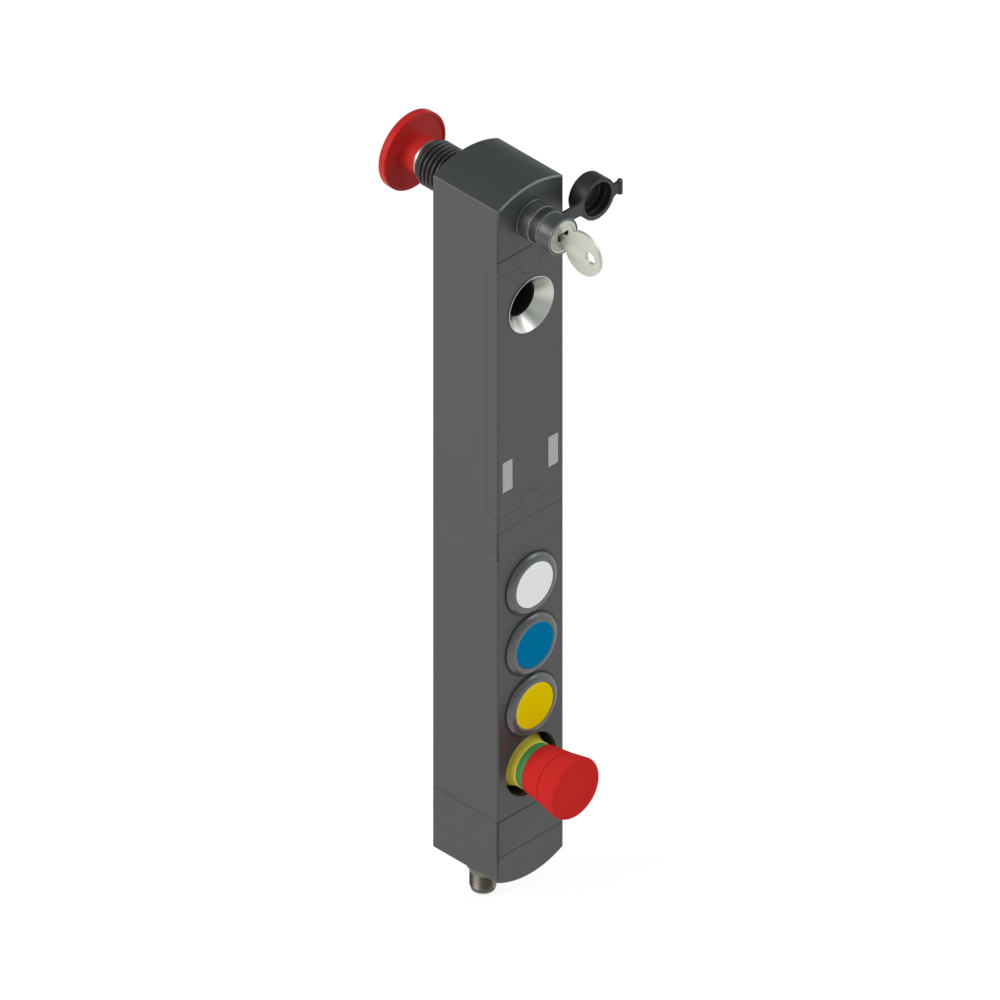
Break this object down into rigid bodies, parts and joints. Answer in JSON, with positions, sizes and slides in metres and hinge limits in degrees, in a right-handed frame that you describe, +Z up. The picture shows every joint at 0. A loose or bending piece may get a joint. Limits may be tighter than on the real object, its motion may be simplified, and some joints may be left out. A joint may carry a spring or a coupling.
{
  "type": "safety interlock switch",
  "caption": "Column-shaped machine guard switch with a funnel for the door's actuator, push buttons, a stop button, a key lock and an escape release.",
  "frame": {"origin": "midway between the two fixing holes, on the back mounting face", "axes": "+Z up along the column, +Y out of the mounting face, -Y towards the person at the buttons, +X to that person's right"},
  "size_m": [0.0652, 0.1187, 0.3862],
  "materials": {
    "housing": "fine matt moulded texture, dark grey",
    "bezel": "matt moulded, charcoal",
    "black_plastic": "matt moulded, black",
    "black_rubber": "satin rubber",
    "cap_rubber": "satin rubber, brownish black",
    "steel": "zinc plated",
    "funnel_metal": "turned and satin",
    "lock_metal": "satin nickel",
    "plug_metal": "satin nickel",
    "key_metal": "satin nickel silver",
    "copper": "enamelled copper wire",
    "board": "green board",
    "window": "frosted light pipe",
    "release_red": "smooth moulded red",
    "stop_red": "smooth moulded red",
    "stop_yellow": "smooth moulded yellow",
    "stop_green": "smooth moulded green",
    "lens_white": "smooth satin white",
    "lens_blue": "smooth satin blue",
    "lens_yellow": "smooth satin yellow",
    "connector_metal": "nickel plated brass",
    "brass_pin": "gold plated"
  },
  "bodies": {
    "housing": {"actuator_pocket": "black_plastic", "antenna_coil": "copper", "blue_spring": "steel", "board_spacers": "black_plastic", "body_housing": "housing", "button_bezels": "bezel", "button_board": "board", "button_housing": "housing", "contact_blocks": "black_plastic", "device_nuts": "steel", "end_cap": "housing", "front_cover": "housing", "funnel_ring": "funnel_metal", "head_housing": "housing", "light_board": "board", "light_windows": "window", "lock_barrel": "lock_metal", "lock_collar": "housing", "lock_sleeve": "housing", "lock_spring": "steel", "lower_adapter": "housing", "main_board": "board", "plug_boss": "bezel", "plug_insert": "black_plastic", "plug_pins": "brass_pin", "plug_shell": "connector_metal", "release_bellows": "black_rubber", "release_bush": "black_plastic", "screw_covers": "housing", "seam_gaskets": "black_rubber", "solenoid_bobbin": "black_plastic", "solenoid_winding": "copper", "solenoid_yoke": "steel", "stop_collar": "stop_yellow", "stop_green_ring": "stop_green", "stop_spring": "steel", "stop_well": "black_plastic", "tie_screws": "steel", "upper_adapter": "housing", "white_spring": "steel", "yellow_spring": "steel"},
    "key_plug": {"lock_plug": "plug_metal", "release_cam": "steel"},
    "key": {"key": "key_metal"},
    "strap": {"strap_ring": "cap_rubber"},
    "cap": {"lock_cap": "cap_rubber"},
    "release": {"release_rod": "steel", "release_washer": "funnel_metal", "release_button": "release_red"},
    "bolt": {"locking_bolt": "steel", "release_frame": "steel"},
    "white_button": {"white_lens": "lens_white", "white_plunger": "black_plastic"},
    "blue_button": {"blue_lens": "lens_blue", "blue_plunger": "black_plastic"},
    "yellow_button": {"yellow_lens": "lens_yellow", "yellow_plunger": "black_plastic"},
    "stop_stem": {"stop_stem": "black_plastic"},
    "stop_head": {"stop_skirt": "stop_red", "stop_cap": "stop_red"}
  },
  "joints": [
    {"name": "lock_turn", "type": "hinge", "parent": "housing", "child": "key_plug", "pos_m": [0, -0.06, 0.0858], "axis": [0, 1, 0], "range_deg": [0, 90]},
    {"name": "key_pull", "type": "slide", "parent": "key_plug", "child": "key", "axis": [0, -1, 0], "range_m": [0, 0.025]},
    {"name": "strap_swivel", "type": "hinge", "parent": "housing", "child": "strap", "pos_m": [0, -0.04925, 0.0858], "axis": [0, 1, 0], "continuous": true},
    {"name": "cap_fold", "type": "hinge", "parent": "strap", "child": "cap", "pos_m": [0.01525, -0.05085, 0.0858], "axis": [0, 0, -1], "range_deg": [0, 90], "stiffness_Nm_per_rad": 0.003},
    {"name": "release_push", "type": "slide", "parent": "housing", "child": "release", "axis": [0, -1, 0], "range_m": [0, 0.008], "deforming": ["release_bellows"]},
    {"name": "bolt_lift", "type": "slide", "parent": "housing", "child": "bolt", "axis": [0, 0, -1], "range_m": [-0.005, 0], "deforming": ["lock_spring"]},
    {"name": "white_push", "type": "slide", "parent": "housing", "child": "white_button", "axis": [0, 1, 0], "range_m": [0, 0.003], "stiffness_N_per_m": 800, "springref_m": -0.002, "deforming": ["white_spring"]},
    {"name": "blue_push", "type": "slide", "parent": "housing", "child": "blue_button", "axis": [0, 1, 0], "range_m": [0, 0.003], "stiffness_N_per_m": 800, "springref_m": -0.002, "deforming": ["blue_spring"]},
    {"name": "yellow_push", "type": "slide", "parent": "housing", "child": "yellow_button", "axis": [0, 1, 0], "range_m": [0, 0.003], "stiffness_N_per_m": 800, "springref_m": -0.002, "deforming": ["yellow_spring"]},
    {"name": "stop_push", "type": "slide", "parent": "housing", "child": "stop_stem", "axis": [0, 1, 0], "range_m": [0, 0.004], "deforming": ["stop_spring"]},
    {"name": "stop_twist", "type": "hinge", "parent": "stop_stem", "child": "stop_head", "pos_m": [0, -0.06, -0.2021], "axis": [0, 1, 0], "range_deg": [0, 40], "stiffness_Nm_per_rad": 0.05}
  ]
}
